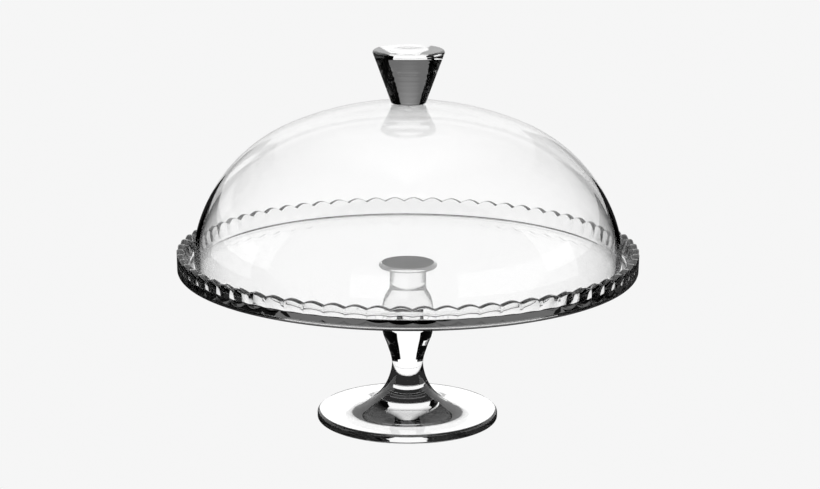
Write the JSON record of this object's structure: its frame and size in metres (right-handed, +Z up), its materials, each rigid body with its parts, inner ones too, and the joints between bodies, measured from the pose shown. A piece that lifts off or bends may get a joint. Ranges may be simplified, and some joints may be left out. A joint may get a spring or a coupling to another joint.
{
  "type": "cake stand with dome",
  "caption": "Clear glass footed cake plate with a scalloped gallery rim, and a lift-off glass dome with a solid cone knob.",
  "frame": {"origin": "centre of the foot's underside, on the surface the stand rests on", "axes": "+Z up along the stem's axis; -Y is the front; round about Z, apart from the scallops"},
  "size_m": [0.3226, 0.3226, 0.2633],
  "materials": {
    "pedestal_glass": "clear fire-polished pressed glass",
    "plate_glass": "clear fire-polished pressed glass",
    "dome_glass": "clear blown glass, gloss",
    "knob_glass": "clear solid pressed glass, gloss",
    "clear_adhesive": "clear cured adhesive film"
  },
  "bodies": {
    "stand": {"pedestal": "pedestal_glass", "stem_bond": "clear_adhesive", "plate": "plate_glass"},
    "lid": {"dome": "dome_glass", "knob_bond": "clear_adhesive", "knob": "knob_glass"}
  },
  "joints": [
    {"name": "dome_lift", "type": "slide", "parent": "stand", "child": "lid", "axis": [0, 0, 1], "range_m": [0, 0.16]}
  ]
}
